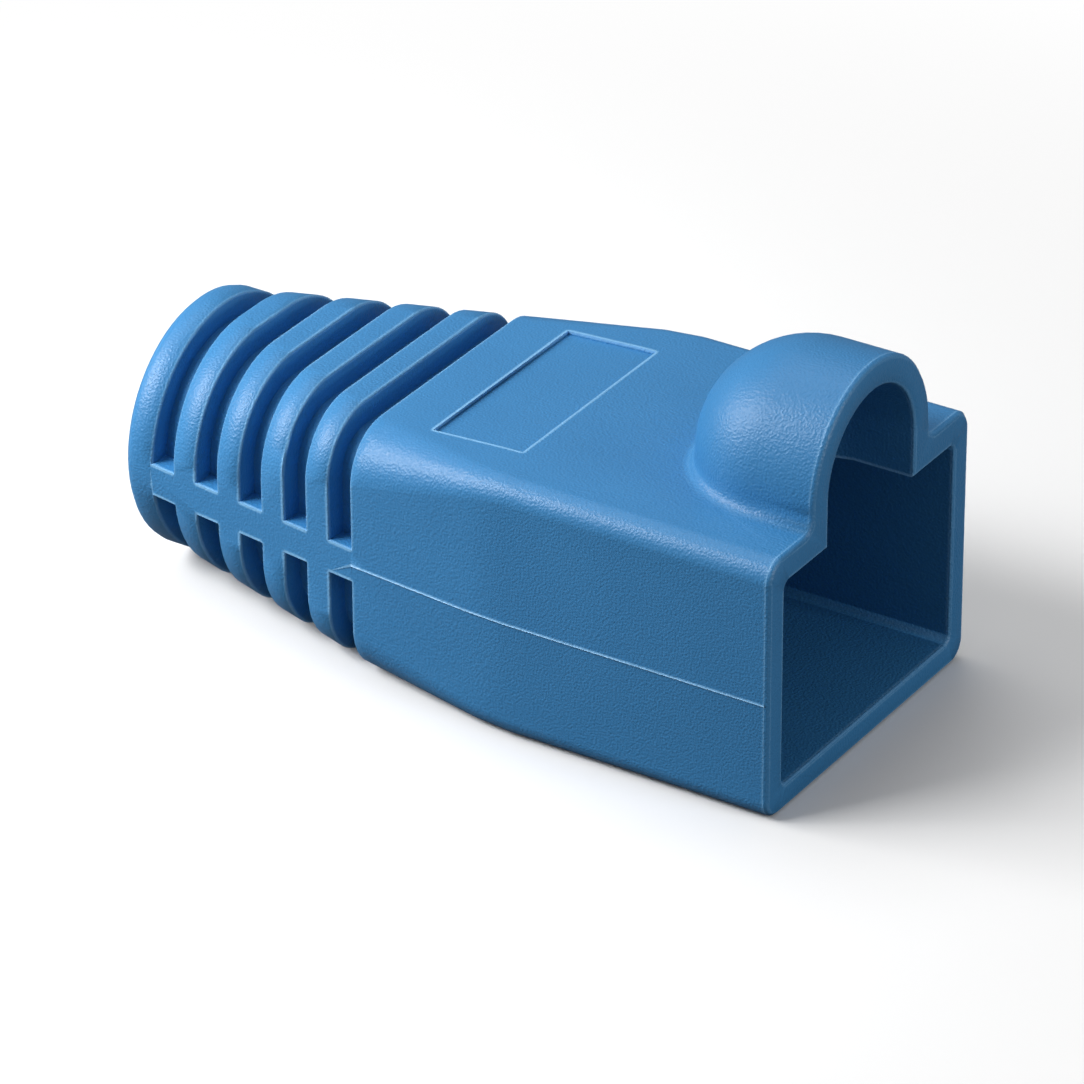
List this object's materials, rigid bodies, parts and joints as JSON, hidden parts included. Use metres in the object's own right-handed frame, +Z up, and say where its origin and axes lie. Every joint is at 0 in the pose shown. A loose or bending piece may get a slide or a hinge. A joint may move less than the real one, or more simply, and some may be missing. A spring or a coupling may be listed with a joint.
{
  "type": "rj45 strain relief boot",
  "caption": "Flexible moulded boot that slides over a modular network plug, with a domed latch hood, a tapering shoulder and a grooved bend relief that ends in a round cable collar.",
  "frame": {"origin": "centre of the bounding box, on the underside", "axes": "+X out of the plug mouth, +Y across the width, +Z up on the side of the latch hood"},
  "size_m": [0.029, 0.014, 0.0152],
  "materials": {
    "boot_pvc": "flexible moulded plastic, satin with a fine grain"
  },
  "bodies": {
    "root": {"strain_relief_boot": "boot_pvc"}
  },
  "joints": []
}
